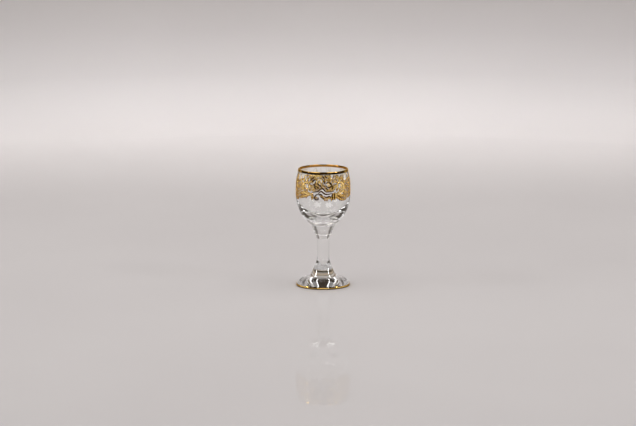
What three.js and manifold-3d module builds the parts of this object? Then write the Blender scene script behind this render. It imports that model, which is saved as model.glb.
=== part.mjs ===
// A small stemmed vodka glass: bowl, collar, stem and foot fused end to end, with fired-on gilding.
// Millimetres, +Z up, origin at the centre of the ring that the foot stands on, front towards -Y.
import * as THREE from "three";
import { TessellateModifier } from "three/addons/modifiers/TessellateModifier.js";
import { mergeVertices } from "three/addons/utils/BufferGeometryUtils.js";
import Module from "manifold-3d";

const wasm = await Module();
wasm.setup();

// Foot
const FOOT_DIAMETER = 49;
const FOOT_HEIGHT = 8.9; // up to the seat of the stem
const FOOT_EDGE_HEIGHT = 1.4; // where the dome begins
const FOOT_EDGE_ROUND = 0.7; // rounding between the edge and the ring it stands on
const STAND_RING_WIDTH = 4.5;
const KICK_DEPTH = 1.2; // how far the underside is hollowed
const SEAT_STEP = 0.3; // the seat stands this high above the dome
const SEAT_LEDGE = 0.7; // and shows this much round the stem's flare

// Stem
const STEM_LENGTH = 39.1;
const STEM_DIAMETER = 10.8;
const STEM_TOP_LENGTH = 8;
const STEM_TOP_SWELL = 1.2;
const FLARE_DIAMETER = 24;
const FLARE_LENGTH = 18;

// Collar
const COLLAR_HEIGHT = 8;
const COLLAR_DIAMETER = 21.8; // where the bowl sits on it
const COLLAR_LEDGE = 0.75; // shows this much round the top of the stem

// Bowl
const BOWL_HEIGHT = 52;
const BELLY_DIAMETER = 49.6;
const BELLY_DROP = 22; // from the lip down to the widest ring
const BELLY_WALL = 2;
const LIP_DIAMETER = 45.6;
const LIP_WALL = 1.5;
const LIP_LEAN = THREE.MathUtils.degToRad(12); // how far the wall leans in at the lip
const BOWL_FLOOR = 7; // glass under the drink, on the axis

// Gilding
const GILT_THICKNESS = 0.15;
const GILT_CLEARANCE = 0.12;
const RIM_GILT_INSIDE = 1.2; // reach down from the lip
const RIM_GILT_OUTSIDE = 1.6;
const FOOT_GILT_ON_DOME = 0.4; // reach along the foot, up and down from its upright edge
const FOOT_GILT_BELOW = 0.3;
const TRANSFER_COUNT = 3;
const TRANSFER_GAP = 0.4; // between neighbours, at the belly
const FRIEZE_DROP = 2.4; // from the lip down to the frieze
const FRIEZE_HEIGHT = 24;
const SCROLL_WIDTH = 1.5;
const SHRINK_PER_TURN = 0.31; // of a scroll's radius
const LEAF_LENGTH = 4.6;
const INNER_LEAF_LENGTH = 3.6;
const LEAF_PULL = 5; // pulls a leaf's sides out: the leaf is about half as wide
const BROAD_PULL = 6.8;
const LEAF_BEND = { along: 0.55, out: 0.2 }; // shares of a leaf's length, along and off its scroll
const LEAF_TIP = { along: 0.75, out: 0.9 };
const OUTER_LEAF_PLACES = [0.06, 0.12, 0.18, 0.24, 0.3, 0.36, 0.42]; // shares of a scroll's length
const INNER_LEAF_PLACES = [0.5, 0.58, 0.66, 0.74, 0.82];
const CREST_LEAF_PLACES = [0.05, 0.5, 0.62, 0.76];
const SHELL_LEAF_PLACES = [0.3, 0.45, 0.6];
const STRAND_WIDTH = 0.9;
const POINT_WIDTH = 0.35; // at the tip of a leaf
const LEAST_EDGE = 0.4; // shorter edges and smaller openings of the frieze are dropped
const LEAST_OPENING = 0.3;

// Fineness
const AROUND = 32;
const CURVE_STEPS = 6;
const FRIEZE_EDGE = 4; // longest edge that is laid on the bowl
const FRIEZE_SPLITS = 6;
const LEAF_STEPS = 4;
const STRAND_STEPS = 6;
const CURL_STEPS = 12;
const SCROLL_STEPS = 18;

// Colours and finishes
const GLASS = { color: 0xe6eae8, roughness: 0.03, metalness: 0 };
const BRIGHT_GOLD = { color: 0xc89a45, roughness: 0.2, metalness: 1 };
const SOFT_GOLD = { color: 0xb78a42, roughness: 0.38, metalness: 1 };

// Heights of the fused joints, and the lip
const stemBase = FOOT_HEIGHT;
const collarBase = stemBase + STEM_LENGTH;
const bowlBase = collarBase + COLLAR_HEIGHT;
const lipHeight = bowlBase + BOWL_HEIGHT;

const stemRadius = STEM_DIAMETER / 2;
const stemTopRadius = stemRadius + STEM_TOP_SWELL;
const flareRadius = FLARE_DIAMETER / 2;
const footRadius = FOOT_DIAMETER / 2;
const collarRadius = COLLAR_DIAMETER / 2;
const bellyRadius = BELLY_DIAMETER / 2;
const bellyHeight = lipHeight - BELLY_DROP;

// A stretch of profile to (radius, height). Its two handles are shares of the stretch's own width and height.
function bendTo(path, radius, height, leave, arrive) {
  const start = path.currentPoint;
  const across = radius - start.x;
  const up = height - start.y;
  path.bezierCurveTo(
    start.x + leave[0] * across, start.y + leave[1] * up,
    radius - arrive[0] * across, height - arrive[1] * up,
    radius, height
  );
}

// Profiles run from the top of a piece over its outside to its bottom, so their left side is the air.
function footProfile() {
  const seatRadius = flareRadius + SEAT_LEDGE;
  const standRadius = footRadius - FOOT_EDGE_ROUND;
  const path = new THREE.Path();
  path.moveTo(0, FOOT_HEIGHT);
  path.lineTo(seatRadius, FOOT_HEIGHT);
  path.lineTo(seatRadius, FOOT_HEIGHT - SEAT_STEP);
  bendTo(path, footRadius, FOOT_EDGE_HEIGHT, [0.49, 0], [0.07, 0.26]);
  path.lineTo(footRadius, FOOT_EDGE_ROUND);
  path.quadraticCurveTo(footRadius, 0, standRadius, 0);
  path.lineTo(standRadius - STAND_RING_WIDTH, 0);
  bendTo(path, 0, KICK_DEPTH, [0.3, 0.7], [0.5, 0]);
  return path;
}

function stemProfile() {
  const path = new THREE.Path();
  path.moveTo(0, collarBase);
  path.lineTo(stemTopRadius, collarBase);
  bendTo(path, stemRadius, collarBase - STEM_TOP_LENGTH, [0, 0.6], [0, 0.35]);
  path.lineTo(stemRadius, stemBase + FLARE_LENGTH);
  bendTo(path, flareRadius, stemBase, [0, 0.37], [0.45, 0.34]);
  path.lineTo(0, stemBase);
  return path;
}

function collarProfile() {
  const path = new THREE.Path();
  path.moveTo(0, bowlBase);
  path.lineTo(collarRadius, bowlBase);
  bendTo(path, stemTopRadius + COLLAR_LEDGE, collarBase, [0.2, 0.46], [0.33, 0.56]);
  path.lineTo(0, collarBase);
  return path;
}

// The bowl: up the inside, over the round lip and down the outside. The wall at the lip leans in.
function bowlProfile() {
  const halfWall = LIP_WALL / 2;
  const lean = new THREE.Vector2(Math.sin(LIP_LEAN), -Math.cos(LIP_LEAN));
  const lipCentre = new THREE.Vector2(LIP_DIAMETER / 2 + halfWall * lean.y, lipHeight - halfWall);
  const lipStart = Math.PI + LIP_LEAN;
  const inside = new THREE.Vector2(
    lipCentre.x + halfWall * Math.cos(lipStart),
    lipCentre.y + halfWall * Math.sin(lipStart)
  );
  const lipPull = lean.clone().multiplyScalar(0.3 * BELLY_DROP);
  const bellyPull = bellyHeight + 0.4 * BELLY_DROP;
  const innerBelly = bellyRadius - BELLY_WALL;
  const path = new THREE.Path();
  path.moveTo(0, bowlBase + BOWL_FLOOR);
  bendTo(path, innerBelly, bellyHeight, [0.5, 0], [0, 0.75]);
  path.bezierCurveTo(
    innerBelly, bellyPull,
    inside.x + lipPull.x, inside.y + lipPull.y,
    inside.x, inside.y
  );
  path.absarc(lipCentre.x, lipCentre.y, halfWall, lipStart, LIP_LEAN, true);
  const outside = path.currentPoint.clone().add(lipPull);
  path.bezierCurveTo(outside.x, outside.y, bellyRadius, bellyPull, bellyRadius, bellyHeight);
  bendTo(path, collarRadius, bowlBase, [0, 0.5], [0.65, 0.34]);
  path.lineTo(0, bowlBase);
  return path;
}

// Turned pieces: the lathe takes a profile from its bottom up
function revolve(points) {
  return new THREE.LatheGeometry([...points].reverse(), AROUND).rotateX(Math.PI / 2);
}

function turned(profile) {
  const points = profile.curves.flatMap((curve, index) => {
    const steps = curve.isLineCurve ? 1 : CURVE_STEPS;
    return curve.getPoints(steps).slice(index ? 1 : 0);
  });
  return revolve(points);
}

// A point lifted off a profile, at a distance along it
function liftedPoint(profile, distance, lift) {
  const share = distance / profile.getLength();
  const along = profile.getTangent(share);
  return profile.getPoint(share).add(new THREE.Vector2(-along.y, along.x).multiplyScalar(lift));
}

// A thin ring of gold that follows a profile through the given distances along it
function gildedRing(profile, distances) {
  const under = distances.map((distance) => liftedPoint(profile, distance, GILT_CLEARANCE));
  const over = distances.map((distance) => liftedPoint(profile, distance, GILT_CLEARANCE + GILT_THICKNESS));
  return revolve([...over, ...under.reverse(), over[0]]);
}

const bowl = bowlProfile();
const foot = footProfile();
const [, lipStartsAt, lipEndsAt] = bowl.getCurveLengths();
const [, , domeEndsAt, edgeEndsAt] = foot.getCurveLengths();

function rimGilding() {
  const lipQuarters = [0, 1, 2, 3, 4].map((n) => THREE.MathUtils.lerp(lipStartsAt, lipEndsAt, n / 4));
  return gildedRing(bowl, [lipStartsAt - RIM_GILT_INSIDE, ...lipQuarters, lipEndsAt + RIM_GILT_OUTSIDE]);
}

function footGilding() {
  const edge = [domeEndsAt, edgeEndsAt];
  return gildedRing(foot, [domeEndsAt - FOOT_GILT_ON_DOME, ...edge, edgeEndsAt + FOOT_GILT_BELOW]);
}

// The frieze: one transfer is drawn flat on a grid of squares, counted from its centre line to the right and
// from its top down, and then laid on the bowl.
const SHEET = { depth: GILT_THICKNESS, bevelEnabled: false };
const GRID_COLUMNS = 26;
const GRID_ROWS = 24;
const transferHalf = (Math.PI * bellyRadius) / TRANSFER_COUNT - TRANSFER_GAP / 2;

function square([column, row]) {
  const down = FRIEZE_DROP + (row * FRIEZE_HEIGHT) / GRID_ROWS;
  return new THREE.Vector2((column * transferHalf) / GRID_COLUMNS, -down);
}

// A scroll that leaves its root and winds in on its eye: to the left, or with turns below zero to the right
class Volute extends THREE.Curve {
  constructor(root, eye, turns) {
    super();
    this.eye = square(eye);
    this.arm = square(root).sub(this.eye);
    this.turns = turns;
  }

  getPoint(t) {
    const turned = t * this.turns;
    const arm = this.arm.clone().rotateAround(new THREE.Vector2(), turned * 2 * Math.PI);
    return arm.multiplyScalar(SHRINK_PER_TURN ** Math.abs(turned)).add(this.eye);
  }
}

// The outline of a stroke along a flat curve. Its widths are at the start, of the pull midway and at the end.
function stroke(curve, widths, steps) {
  const left = [];
  const right = [];
  for (let step = 0; step <= steps; step += 1) {
    const t = step / steps;
    const width = (1 - t) ** 2 * widths[0] + 2 * t * (1 - t) * widths[1] + t ** 2 * widths[2];
    const along = curve.getTangent(t);
    const aside = new THREE.Vector2(-along.y, along.x).multiplyScalar(width / 2);
    const point = curve.getPoint(t);
    left.push(point.clone().add(aside));
    right.unshift(point.clone().sub(aside));
  }
  return [...left, ...right];
}

function scroll(curve, steps) {
  return stroke(curve, [SCROLL_WIDTH, SCROLL_WIDTH, STRAND_WIDTH], steps);
}

function leaf(root, bend, tip, pull) {
  const rib = new THREE.QuadraticBezierCurve(root, bend, tip);
  return stroke(rib, [STRAND_WIDTH, pull, POINT_WIDTH], LEAF_STEPS);
}

// Leaves on the grid, each by its root, bend and tip
function leaves(pull, rows) {
  return rows.map((row) => leaf(...row.map(square), pull));
}

// Leaves along a scroll, on its outer side, swept the way it grows
function leavesOn(volute, places, length) {
  return places.map((t) => {
    const root = volute.getPoint(t);
    const along = volute.getTangent(t).multiplyScalar(length);
    const out = new THREE.Vector2(along.y, -along.x).multiplyScalar(Math.sign(volute.turns));
    const bend = root.clone().addScaledVector(along, LEAF_BEND.along).addScaledVector(out, LEAF_BEND.out);
    const tip = root.clone().addScaledVector(along, LEAF_TIP.along).addScaledVector(out, LEAF_TIP.out);
    return leaf(root, bend, tip, LEAF_PULL);
  });
}

// Strands on the grid, each a curve by its two ends and the two handles between
function strands(rows) {
  return rows.map((row) => {
    const curve = new THREE.CubicBezierCurve(...row.map(square));
    return stroke(curve, [STRAND_WIDTH, STRAND_WIDTH, STRAND_WIDTH], STRAND_STEPS);
  });
}

// A wavy stem ends in two big scrolls, with two small ones standing between them and a curl hanging below
function scrollwork() {
  const stem = new THREE.SplineCurve(
    [[-9.4, 15.6], [-5.2, 15.8], [-1.6, 13.4], [2.6, 16], [6.6, 16.2], [10.4, 15.6]].map(square)
  );
  const bigScrolls = [
    new Volute([-9.4, 15.6], [-15.6, 10.2], -1.6),
    new Volute([10.4, 15.6], [16.2, 10], 1.6),
  ];
  const crest = new Volute([-8.2, 8.6], [-2.6, 5.8], -1.35);
  const shell = new Volute([1.4, 7], [5.2, 8.6], -1.3);
  const drop = new Volute([-4.2, 16.4], [-6, 19.8], 1.2);
  return [
    scroll(stem, SCROLL_STEPS),
    ...bigScrolls.map((volute) => scroll(volute, SCROLL_STEPS)),
    ...[crest, shell, drop].map((volute) => scroll(volute, CURL_STEPS)),
    ...bigScrolls.flatMap((volute) => leavesOn(volute, OUTER_LEAF_PLACES, LEAF_LENGTH)),
    ...bigScrolls.flatMap((volute) => leavesOn(volute, INNER_LEAF_PLACES, INNER_LEAF_LENGTH)),
    ...leavesOn(crest, CREST_LEAF_PLACES, INNER_LEAF_LENGTH),
    ...leavesOn(shell, SHELL_LEAF_PLACES, INNER_LEAF_LENGTH),
  ];
}

// Leaves between the scrolls: risers to the lip, then those that stand on the stem, from left to right
function standingLeaves() {
  return leaves(LEAF_PULL, [
    [[-13.6, 6.8], [-11.2, 4.6], [-9.8, -0.3]],
    [[-10.6, 7.2], [-8.6, 4.2], [-7.2, -0.3]],
    [[2.4, 5.4], [1.4, 2.2], [-1.4, -0.1]],
    [[4.2, 5.6], [3.4, 2.4], [1.6, -0.2]],
    [[-6, 15.6], [-11, 15.4], [-10.8, 9]],
    [[-2, 14.4], [-7.4, 13.8], [-7.6, 8.8]],
    [[-2, 14.4], [-4.6, 11.4], [-4.4, 8]],
    [[-1.6, 14.4], [0.2, 11.6], [-1.4, 8]],
    [[-1.4, 14.4], [2.2, 13.4], [2, 8.8]],
    [[-0.4, 14.6], [4.4, 14.8], [5.4, 10.4]],
    [[2.6, 15.6], [7, 15.4], [8.6, 10.6]],
    [[6, 16], [10.6, 14.6], [10.4, 7]],
  ]);
}

// Leaves below the stem: the broad sweeps at both ends, then the hanging ones, from left to right
function hangingLeaves() {
  const sweeps = leaves(BROAD_PULL, [
    [[-10.4, 16.6], [-17.6, 18.4], [-25.2, 22.4]],
    [[-12.6, 16.8], [-7.4, 17], [-10.8, 22]],
    [[11.8, 16.6], [14.6, 23.4], [25.2, 23.2]],
    [[12.6, 16.6], [18, 19.6], [25.2, 20]],
  ]);
  const hanging = leaves(LEAF_PULL, [
    [[-13.6, 16.4], [-19.4, 16.6], [-25.2, 18.4]],
    [[-5.4, 16.4], [-1.4, 18.4], [1.4, 21.8]],
    [[9.2, 17], [5, 20.4], [0.6, 18]],
    [[4, 19], [4.6, 20.6], [3.4, 22.4]],
    [[6.6, 18.6], [7.6, 21], [7.6, 23.4]],
    [[8.8, 16], [9.4, 19.6], [8.8, 22.4]],
    [[10.6, 16], [11.6, 19.6], [10.8, 22.6]],
  ]);
  return [...sweeps, ...hanging];
}

// Arch, bar, garland and strands that tie the scrolls to the gilded lip
function lipStrands() {
  return strands([
    [[-19.8, 6], [-20.6, -1.4], [-16, -1.4], [-16.2, 6]],
    [[-12.6, 0], [-8, 0.2], [-3, 0.2], [0.4, 1.4]],
    [[5.6, -0.2], [6, 2], [4.6, 4], [4.8, 6.4]],
    [[5.6, -0.2], [7.2, 5.6], [11.4, 5.6], [12.6, -0.2]],
    [[12.6, -0.2], [13, 2], [11.8, 4.4], [12.2, 7]],
    [[14.8, -0.2], [14.4, 2], [15.2, 4], [16, 6]],
    [[18.4, -0.2], [19.6, 2.4], [18.6, 4.6], [16.2, 6]],
  ]);
}

function motif() {
  return [...scrollwork(), ...standingLeaves(), ...hangingLeaves(), ...lipStrands()];
}

// A flat stroke as a solid that can be joined to others
function sheet(outline) {
  const bare = new THREE.ExtrudeGeometry(new THREE.Shape(outline), SHEET);
  bare.deleteAttribute("normal");
  bare.deleteAttribute("uv");
  const merged = mergeVertices(bare);
  const vertProperties = new Float32Array(merged.attributes.position.array);
  const triVerts = new Uint32Array(merged.index.array);
  return new wasm.Manifold(new wasm.Mesh({ numProp: 3, vertProperties, triVerts }));
}

// The closed lines round the upper face of a flat solid
function upperLoops(flat) {
  const { vertProperties, triVerts } = flat.getMesh();
  const isUpper = (corner) => vertProperties[3 * corner + 2] > GILT_THICKNESS / 2;
  const edges = new Map();
  for (let first = 0; first < triVerts.length; first += 3) {
    const corners = Array.from(triVerts.subarray(first, first + 3));
    if (corners.every(isUpper)) {
      const [a, b, c] = corners;
      [[a, b], [b, c], [c, a]].forEach(([from, to]) => edges.set(`${from} ${to}`, [from, to]));
    }
  }
  const next = new Map([...edges.values()].filter(([from, to]) => !edges.has(`${to} ${from}`)));
  const loops = [];
  while (next.size > 0) {
    const loop = [];
    let [corner] = next.keys();
    while (next.has(corner)) {
      loop.push(new THREE.Vector2(vertProperties[3 * corner], vertProperties[3 * corner + 1]));
      const following = next.get(corner);
      next.delete(corner);
      corner = following;
    }
    loops.push(loop);
  }
  return loops;
}

// The strokes joined into one shape with its openings. Slivers and pinholes are dropped.
function joinedShape(outlines) {
  const joined = outlines.map(sheet).reduce((all, one) => all.add(one));
  const loops = upperLoops(joined).map((loop) =>
    loop.filter((point, n) => point.distanceTo(loop[(n + 1) % loop.length]) > LEAST_EDGE)
  );
  const [outline, ...openings] = loops.sort((a, b) => THREE.ShapeUtils.area(b) - THREE.ShapeUtils.area(a));
  const shape = new THREE.Shape(outline);
  shape.holes = openings
    .filter((loop) => -THREE.ShapeUtils.area(loop) > LEAST_OPENING)
    .map((loop) => new THREE.Path(loop));
  return shape;
}

// The flat transfer, one sheet of gold, laid on the front of the bowl
function ornamentTransfer() {
  const flat = new THREE.ExtrudeGeometry(joinedShape(motif()), SHEET);
  const geometry = new TessellateModifier(FRIEZE_EDGE, FRIEZE_SPLITS).modify(flat);
  const positions = geometry.attributes.position;
  for (let index = 0; index < positions.count; index += 1) {
    const turn = positions.getX(index) / bellyRadius;
    const lift = GILT_CLEARANCE + positions.getZ(index);
    const place = liftedPoint(bowl, lipEndsAt - positions.getY(index), lift);
    positions.setXYZ(index, place.x * Math.sin(turn), -place.x * Math.cos(turn), place.y);
  }
  geometry.computeVertexNormals();
  return geometry;
}

// The assembly
function piece(name, geometry, finish) {
  const mesh = new THREE.Mesh(geometry, new THREE.MeshStandardMaterial(finish));
  mesh.name = name;
  return mesh;
}

const glass = new THREE.Group();
glass.add(
  piece("foot", turned(foot), GLASS),
  piece("stem", turned(stemProfile()), GLASS),
  piece("collar", turned(collarProfile()), GLASS),
  piece("bowl", turned(bowl), GLASS),
  piece("rim_gilding", rimGilding(), BRIGHT_GOLD),
  piece("foot_gilding", footGilding(), BRIGHT_GOLD)
);

const transfer = ornamentTransfer();
for (let copy = 0; copy < TRANSFER_COUNT; copy += 1) {
  const mesh = piece(`ornament_transfer_${copy + 1}`, transfer, SOFT_GOLD);
  mesh.rotation.z = (copy * 2 * Math.PI) / TRANSFER_COUNT;
  glass.add(mesh);
}

export default glass;
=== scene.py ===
from math import cos, hypot, pi, radians, sin

import bpy
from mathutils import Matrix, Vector


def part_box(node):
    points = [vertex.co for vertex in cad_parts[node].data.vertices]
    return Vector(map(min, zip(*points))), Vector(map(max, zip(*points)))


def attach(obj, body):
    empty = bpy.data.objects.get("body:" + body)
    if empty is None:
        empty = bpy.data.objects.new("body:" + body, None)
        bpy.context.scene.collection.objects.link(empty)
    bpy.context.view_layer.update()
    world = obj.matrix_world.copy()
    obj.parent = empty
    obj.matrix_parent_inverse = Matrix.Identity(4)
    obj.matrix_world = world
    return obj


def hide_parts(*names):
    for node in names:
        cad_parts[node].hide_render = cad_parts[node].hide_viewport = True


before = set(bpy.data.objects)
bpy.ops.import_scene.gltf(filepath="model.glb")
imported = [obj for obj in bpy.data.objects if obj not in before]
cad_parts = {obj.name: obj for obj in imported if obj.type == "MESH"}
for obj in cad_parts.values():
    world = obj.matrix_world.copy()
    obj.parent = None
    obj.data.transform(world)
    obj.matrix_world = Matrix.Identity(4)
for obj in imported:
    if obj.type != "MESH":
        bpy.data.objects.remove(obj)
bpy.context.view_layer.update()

mm = 0.001


# One socket of a node tree. Expressions on wires add Math nodes, and node() adds any other node.
class Wire:
    def __init__(self, tree, socket=None):
        self.tree = tree
        self.socket = socket

    def node(self, kind, settings=None, sockets=None, out=0):
        made = self.tree.nodes.new(kind)
        for name, value in (settings or {}).items():
            if name == "stops":
                self.setStops(made.color_ramp, value)
            else:
                setattr(made, name, value)
        for name, value in (sockets or {}).items():
            for one in value if isinstance(value, list) else [value]:
                if isinstance(one, Wire):
                    self.tree.links.new(one.socket, made.inputs[name])
                else:
                    made.inputs[name].default_value = one
        return Wire(self.tree, made.outputs[out] if made.outputs else None)

    def setStops(self, ramp, stops):
        while len(ramp.elements) < len(stops):
            ramp.elements.new(1.0)
        for element, (place, colour) in zip(ramp.elements, stops):
            element.position = place
            element.color = colour

    def other(self, name):
        return Wire(self.tree, self.socket.node.outputs[name])

    def math(self, operation, first, second=0.0):
        return self.node("ShaderNodeMath", {"operation": operation}, {0: first, 1: second})

    # a Mix node's colours go into sockets 6 and 7 and come out of socket 2
    def mix(self, share, first, second, blend="MIX"):
        return self.node("ShaderNodeMix", {"data_type": "RGBA", "blend_type": blend},
                         {0: share, 6: first, 7: second}, 2)

    def mixShader(self, share, first, second):
        return self.node("ShaderNodeMixShader", sockets={0: share, 1: first, 2: second})

    def axes(self):
        return self.node("ShaderNodeSeparateXYZ", sockets={0: self})

    def __add__(self, value):
        return self.math("ADD", self, value)

    def __sub__(self, value):
        return self.math("SUBTRACT", self, value)

    def __rsub__(self, value):
        return self.math("SUBTRACT", value, self)

    def __mul__(self, value):
        return self.math("MULTIPLY", self, value)

    def __truediv__(self, value):
        return self.math("DIVIDE", self, value)

    def __neg__(self):
        return self.math("MULTIPLY", self, -1.0)

    __radd__ = __add__
    __rmul__ = __mul__


# Profiles: (radius, height) in millimetres

def bezier(handles, steps):
    places = []
    for step in range(steps + 1):
        t = step / steps
        weights = ((1 - t) ** 3, 3 * t * (1 - t) ** 2, 3 * t * t * (1 - t), t ** 3)
        places.append(tuple(sum(w * h[k] for w, h in zip(weights, handles)) for k in (0, 1)))
    return places


# handles are shares of the stretch's own width and height
def bend(start, end, leave, arrive, steps=32):
    across, up = end[0] - start[0], end[1] - start[1]
    first = (start[0] + leave[0] * across, start[1] + leave[1] * up)
    second = (end[0] - arrive[0] * across, end[1] - arrive[1] * up)
    return bezier((start, first, second, end), steps)


# a curve from start to end, pulled towards a corner
def pulled(start, corner, end, steps):
    handles = [tuple(e + (c - e) * 2 / 3 for e, c in zip(one, corner)) for one in (start, end)]
    return bezier((start, *handles, end), steps)


# a corner rounded off, by how far from it the rounding starts
def rounded(before, corner, after, reach, steps=8):
    def towards(place):
        share = reach / hypot(place[0] - corner[0], place[1] - corner[1])
        return tuple(c + (p - c) * share for c, p in zip(corner, place))
    return pulled(towards(before), corner, towards(after), steps)


# the stretch of a line between two distances along it
def cut(line, start, end):
    walked = 0.0
    kept = []
    for a, b in zip(line, line[1:]):
        length = hypot(b[0] - a[0], b[1] - a[1])
        for stop in (start, end):
            if length and walked <= stop < walked + length:
                share = (stop - walked) / length
                kept.append((stop, tuple(p + (q - p) * share for p, q in zip(a, b))))
        walked += length
        if start < walked < end:
            kept.append((walked, b))
    return [place for _, place in sorted(kept)]


# a line lifted off to its left, which is the air side of a profile
def lifted(line, lift):
    moved = []
    for index, place in enumerate(line):
        before = line[max(index - 1, 0)]
        after = line[min(index + 1, len(line) - 1)]
        along = (after[0] - before[0], after[1] - before[1])
        length = hypot(*along)
        moved.append((place[0] - along[1] / length * lift, place[1] + along[0] / length * lift))
    return moved


def lengthOf(line):
    return sum(hypot(b[0] - a[0], b[1] - a[1]) for a, b in zip(line, line[1:]))


# Materials

def material(name):
    made = bpy.data.materials.new(name)
    made.use_nodes = True
    made.node_tree.nodes.clear()
    return made, Wire(made.node_tree)


def finishMaterial(wires, shader):
    wires.node("ShaderNodeOutputMaterial", sockets={"Surface": shader})


# clear glass, fire polished: a faint ripple in the surface
def clearGlass():
    made, wires = material("clear_glass")
    place = wires.node("ShaderNodeTexCoord").other("Object")
    ripple = wires.node("ShaderNodeTexNoise", sockets={
        "Vector": place, "Scale": 160.0, "Detail": 1.0, "Roughness": 0.4})
    bump = wires.node("ShaderNodeBump", sockets={"Height": ripple, "Strength": 0.02, "Distance": 0.0005})
    glass = wires.node("ShaderNodeBsdfPrincipled", sockets={
        "Base Color": (0.995, 1.0, 0.995, 1), "Roughness": 0.0, "IOR": 1.52,
        "Transmission Weight": 1.0, "Normal": bump})
    straight = wires.node("ShaderNodeBsdfTransparent")
    slanting = wires.node("ShaderNodeBsdfTransparent", sockets={"Color": (0.6, 0.6, 0.6, 1)})
    slant = wires.node("ShaderNodeLayerWeight", sockets={"Blend": 0.5}).other("Facing")
    passed = wires.mixShader(slant, straight, slanting)
    shadow = wires.node("ShaderNodeLightPath").other("Is Shadow Ray")  # a pale shadow, darker at its edges
    finishMaterial(wires, wires.mixShader(shadow, glass, passed))
    return made


# where two glass pieces are fused nothing shows
def fusedJoint():
    made, wires = material("fused_joint")
    finishMaterial(wires, wires.node("ShaderNodeBsdfTransparent"))
    return made


# polished gold for the lip and the foot's edge, a little worn
def brightGold():
    made, wires = material("bright_gold")
    place = wires.node("ShaderNodeTexCoord").other("Object")
    wear = wires.node("ShaderNodeTexNoise", sockets={"Vector": place, "Scale": 420.0, "Detail": 4.0})
    tone = wires.node("ShaderNodeValToRGB", {"stops": [
        (0.3, (0.56, 0.34, 0.09, 1)), (0.7, (0.72, 0.48, 0.15, 1))]}, {"Fac": wear})
    # painted shade: browner where it faces the axis, and dark along the edge that stands on the table
    flat = wires.node("ShaderNodeVectorMath", {"operation": "MULTIPLY"}, {0: place, 1: (1, 1, 0)})
    flat = wires.node("ShaderNodeVectorMath", {"operation": "NORMALIZE"}, {0: flat})
    normal = wires.node("ShaderNodeNewGeometry").other("Normal")
    outward = wires.node("ShaderNodeVectorMath", {"operation": "DOT_PRODUCT"},
                         {0: normal, 1: flat}, "Value")
    inward = wires.math("MAXIMUM", -outward, 0.0)
    height = place.axes().other("Z")
    paintedContactShade = wires.node("ShaderNodeMapRange", sockets={
        "Value": height, "From Min": 1.0 * mm, "From Max": 0.5 * mm})
    # painted shade: browner on the side that faces the axis
    tone = wires.mix(inward, tone, (0.5, 0.24, 0.05, 1))
    # painted contact shade: dark along the edge that stands on the table
    tone = wires.mix(paintedContactShade, tone, (0.06, 0.045, 0.02, 1))
    gold = wires.node("ShaderNodeBsdfPrincipled", sockets={
        "Base Color": tone, "Metallic": 1.0, "Specular Tint": (0.9, 0.68, 0.32, 1),
        "Roughness": 0.06 + 0.1 * wear})
    # from within the glass foot the thin film is mostly see-through
    seeThrough = 0.8
    overFoot = 10 * mm  # between the two gilded rings
    facingIn = 0.1
    onFoot = wires.math("LESS_THAN", height, overFoot)
    back = wires.node("ShaderNodeNewGeometry").other("Backfacing")
    reverse = wires.math("MAXIMUM", back, wires.math("GREATER_THAN", inward, facingIn)) * onFoot
    clear = wires.node("ShaderNodeBsdfTransparent", sockets={"Color": (0.95, 0.92, 0.84, 1)})
    finishMaterial(wires, wires.mixShader(reverse * seeThrough, gold, clear))
    return made


# Fired gold: matt leaves (rank 0), burnished scrolls (rank 1) and dark veins (rank 2), browner in the
# hollows, where depth is 0, as patina and painted shade. The film is so thin that its reverse is pale and
# see-through.
def friezeGold():
    made, wires = material("frieze_gold")
    place = wires.node("ShaderNodeTexCoord").other("Object")
    depth = wires.node("ShaderNodeAttribute", {"attribute_name": "depth"}).other("Fac")
    rank = wires.node("ShaderNodeAttribute", {"attribute_name": "rank"}).other("Fac")
    burnish = wires.math("MINIMUM", rank, 1.0)
    dark = wires.math("MAXIMUM", rank - 1, 0.0)
    grain = wires.node("ShaderNodeTexNoise", sockets={"Vector": place, "Scale": 1500.0, "Detail": 3.0})
    cloud = wires.node("ShaderNodeTexNoise", sockets={"Vector": place, "Scale": 330.0, "Detail": 3.0})
    # the ramp darkens the hollows to near black: partly patina, partly painted shade
    tone = wires.node("ShaderNodeValToRGB", {"stops": [
        (0.34, (0.1, 0.03, 0.002, 1)), (0.45, (0.7, 0.355, 0.045, 1)), (0.56, (1.0, 0.73, 0.29, 1))]},
        {"Fac": 0.5 * depth + 0.5 * cloud})
    tone = wires.mix(dark, tone, (0.095, 0.038, 0.003, 1))
    bump = wires.node("ShaderNodeBump", sockets={"Height": grain, "Strength": 0.3, "Distance": 0.00004})
    gold = wires.node("ShaderNodeBsdfPrincipled", sockets={
        "Base Color": tone, "Metallic": 1.0, "Specular Tint": (0.9, 0.62, 0.26, 1),
        "Roughness": (0.34 + 0.16 * grain) * (1 - 0.55 * burnish), "Normal": bump})
    clear = wires.node("ShaderNodeBsdfTransparent", sockets={"Color": (0.95, 0.915, 0.84, 1)})
    back = wires.node("ShaderNodeNewGeometry").other("Backfacing")
    finishMaterial(wires, wires.mixShader(back, gold, clear))
    return made


# the undersides of the frieze's ribbons, bedded in the glass and nearly see-through
def reliefGround():
    made, wires = material("relief_ground")
    finishMaterial(wires, wires.node("ShaderNodeBsdfPrincipled", sockets={
        "Base Color": (0.72, 0.7, 0.66, 1), "Roughness": 0.6, "Alpha": 0.02}))
    return made


finishes = {
    "glass": clearGlass(),
    "joint": fusedJoint(),
    "brightGold": brightGold(),
    "friezeGold": friezeGold(),
    "ground": reliefGround(),
}
print("finishes made")


# Geometry Nodes

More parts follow.
